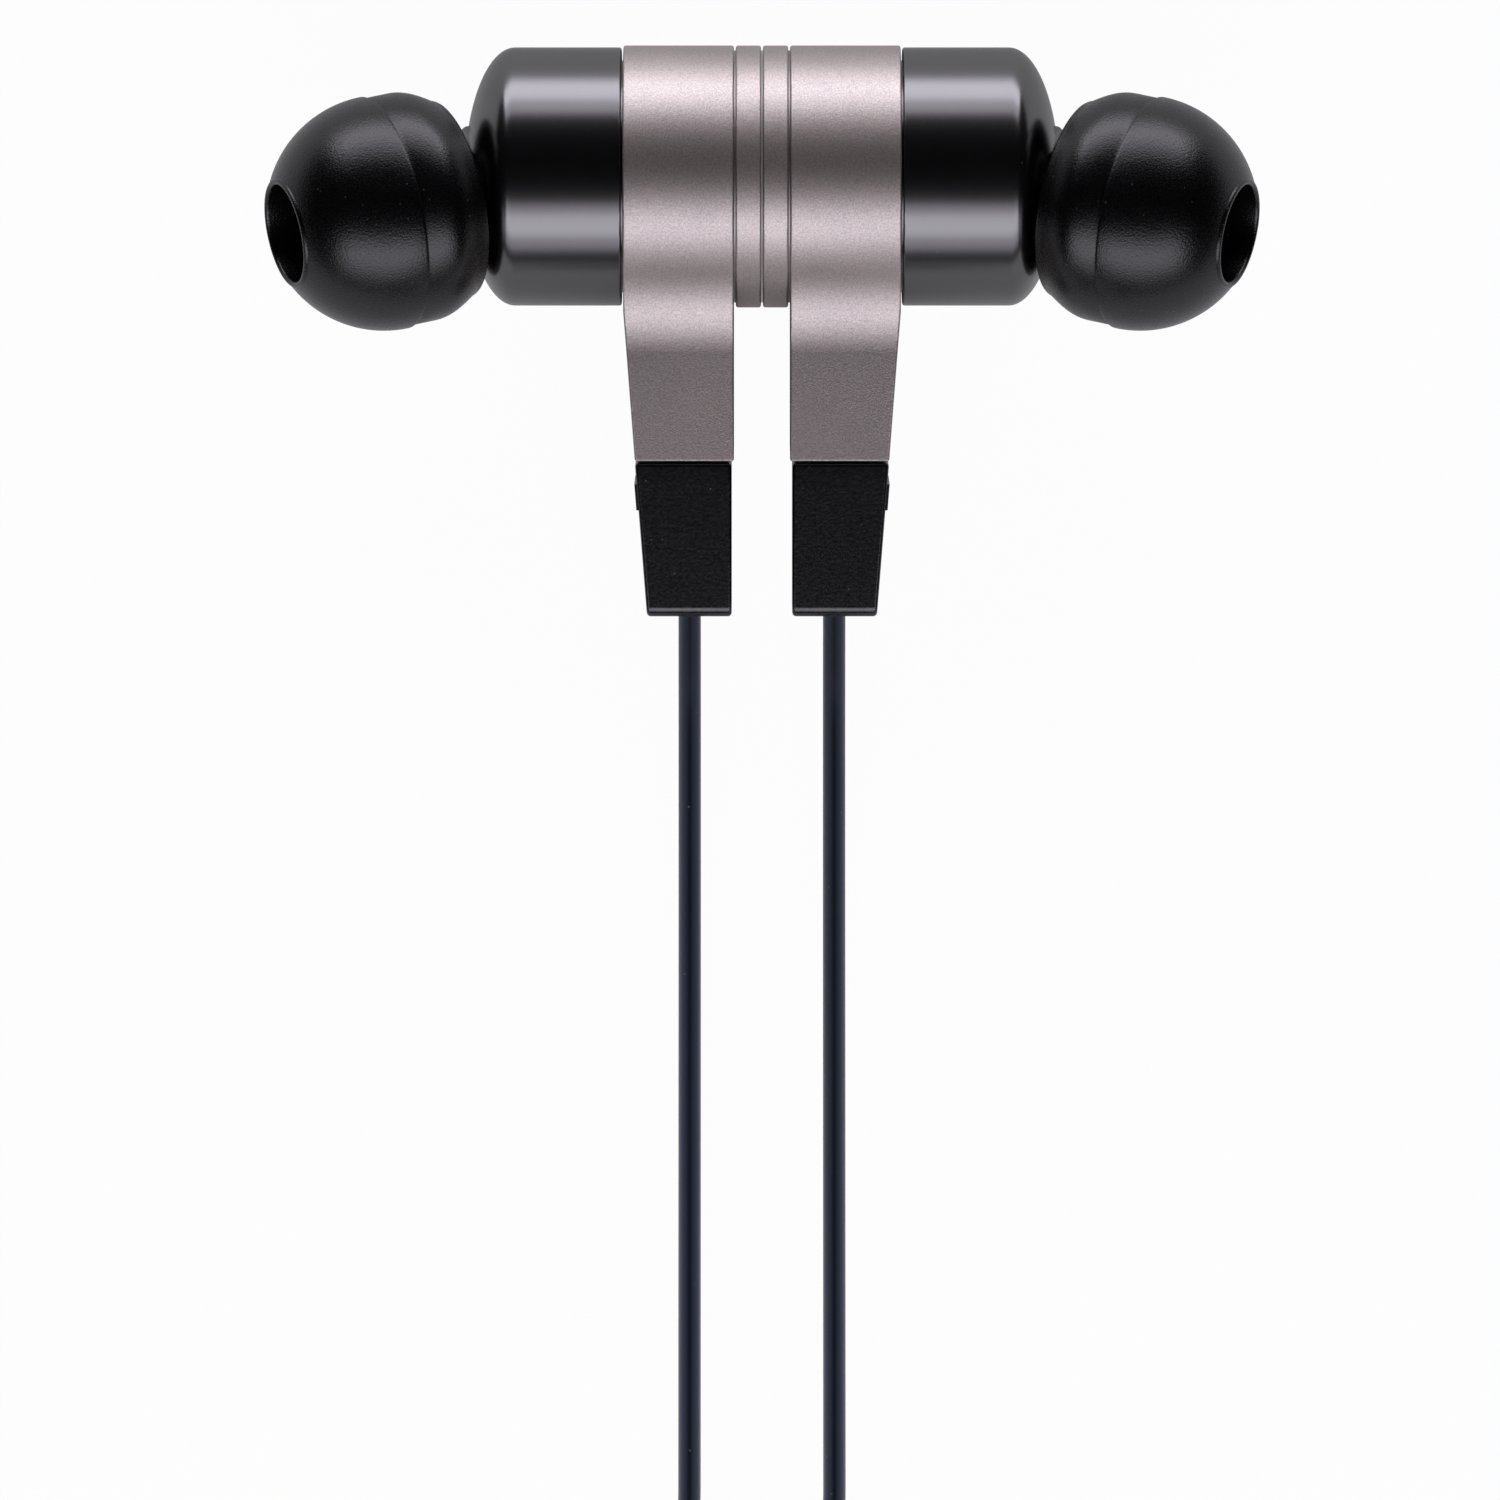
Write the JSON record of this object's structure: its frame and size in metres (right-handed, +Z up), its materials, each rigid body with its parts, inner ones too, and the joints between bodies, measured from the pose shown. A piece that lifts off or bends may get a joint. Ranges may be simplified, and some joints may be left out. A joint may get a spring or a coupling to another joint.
{
  "type": "wired earphones",
  "caption": "Wired in-ear earphones clasped back to back by magnets, with silicone tips, aluminium stems, coiled cord and 3.5 mm plug.",
  "frame": {"origin": "on the table, under the middle of the clasped pair of earpieces", "axes": "+Z up, +X along the clasp axis towards the right earpiece, -Y towards the ends of the stems and the cords"},
  "size_m": [0.0528, 0.1265, 0.0164],
  "materials": {
    "aluminium": "fine bead-blasted and anodised a warm grey",
    "black_shell": "satin-gloss black moulding",
    "silicone": "matte black silicone with a fine bloom",
    "boot_rubber": "matte black rubber",
    "cord_jacket": "smooth dark slate elastomer",
    "tie_strap": "soft black woven strap",
    "steel": "plain rolled steel",
    "steel_mesh": "fine woven mesh",
    "nickel_plating": "nickel plating",
    "copper": "enamelled copper wire",
    "film": "clear amber film",
    "board": "green solder mask",
    "foam": "open-cell foam",
    "moulded_plastic": "black moulded plastic",
    "gold_plating": "bright gold plating"
  },
  "bodies": {
    "left_earpiece": {"left_end_cap": "aluminium", "left_rear_housing": "aluminium", "left_front_housing": "black_shell", "left_clasp_magnet": "nickel_plating", "left_magnet_keeper": "steel", "left_solder_board": "board", "left_driver_frame": "moulded_plastic", "left_driver_yoke": "steel", "left_driver_magnet": "nickel_plating", "left_top_plate": "steel", "left_voice_coil": "copper", "left_diaphragm": "film", "left_driver_gasket": "foam", "left_driver_grille": "steel", "left_boot": "boot_rubber", "left_inner_cord": "cord_jacket", "left_cord_crimp": "steel", "left_signal_wire": "copper", "left_return_wire": "copper", "left_nozzle_mesh": "steel_mesh", "left_nozzle_damper": "foam", "left_cord": "cord_jacket", "cord_coil": "cord_jacket", "left_coil_tie": "tie_strap", "right_coil_tie": "tie_strap", "y_split": "boot_rubber", "trunk_cord": "cord_jacket", "plug_relief": "boot_rubber", "plug_shell": "aluminium", "plug_sleeve": "gold_plating", "plug_rear_insulator": "moulded_plastic", "plug_ring": "gold_plating", "plug_front_insulator": "moulded_plastic", "plug_tip": "gold_plating"},
    "right_lead": {"right_cord": "cord_jacket"},
    "right_earpiece": {"right_end_cap": "aluminium", "right_rear_housing": "aluminium", "right_front_housing": "black_shell", "right_clasp_magnet": "nickel_plating", "right_magnet_keeper": "steel", "right_solder_board": "board", "right_driver_frame": "moulded_plastic", "right_driver_yoke": "steel", "right_driver_magnet": "nickel_plating", "right_top_plate": "steel", "right_voice_coil": "copper", "right_diaphragm": "film", "right_driver_gasket": "foam", "right_driver_grille": "steel", "right_boot": "boot_rubber", "right_inner_cord": "cord_jacket", "right_cord_crimp": "steel", "right_signal_wire": "copper", "right_return_wire": "copper", "right_nozzle_mesh": "steel_mesh", "right_nozzle_damper": "foam"},
    "left_tip": {"left_ear_tip": "silicone"},
    "right_tip": {"right_ear_tip": "silicone"}
  },
  "joints": [
    {"name": "clasp_pull", "type": "slide", "parent": "left_earpiece", "child": "right_lead", "axis": [1, 0, 0], "range_m": [0, 0.012]},
    {"name": "clasp_twist", "type": "hinge", "parent": "right_lead", "child": "right_earpiece", "pos_m": [0, 0.00822, 0.007], "axis": [-1, 0, 0], "range_deg": [0, 45]},
    {"name": "left_tip_pull", "type": "slide", "parent": "left_earpiece", "child": "left_tip", "axis": [-0.9158, -0.239, 0.3227], "range_m": [0, 0.008]},
    {"name": "right_tip_pull", "type": "slide", "parent": "right_earpiece", "child": "right_tip", "axis": [0.9158, -0.239, 0.3227], "range_m": [0, 0.008]}
  ]
}
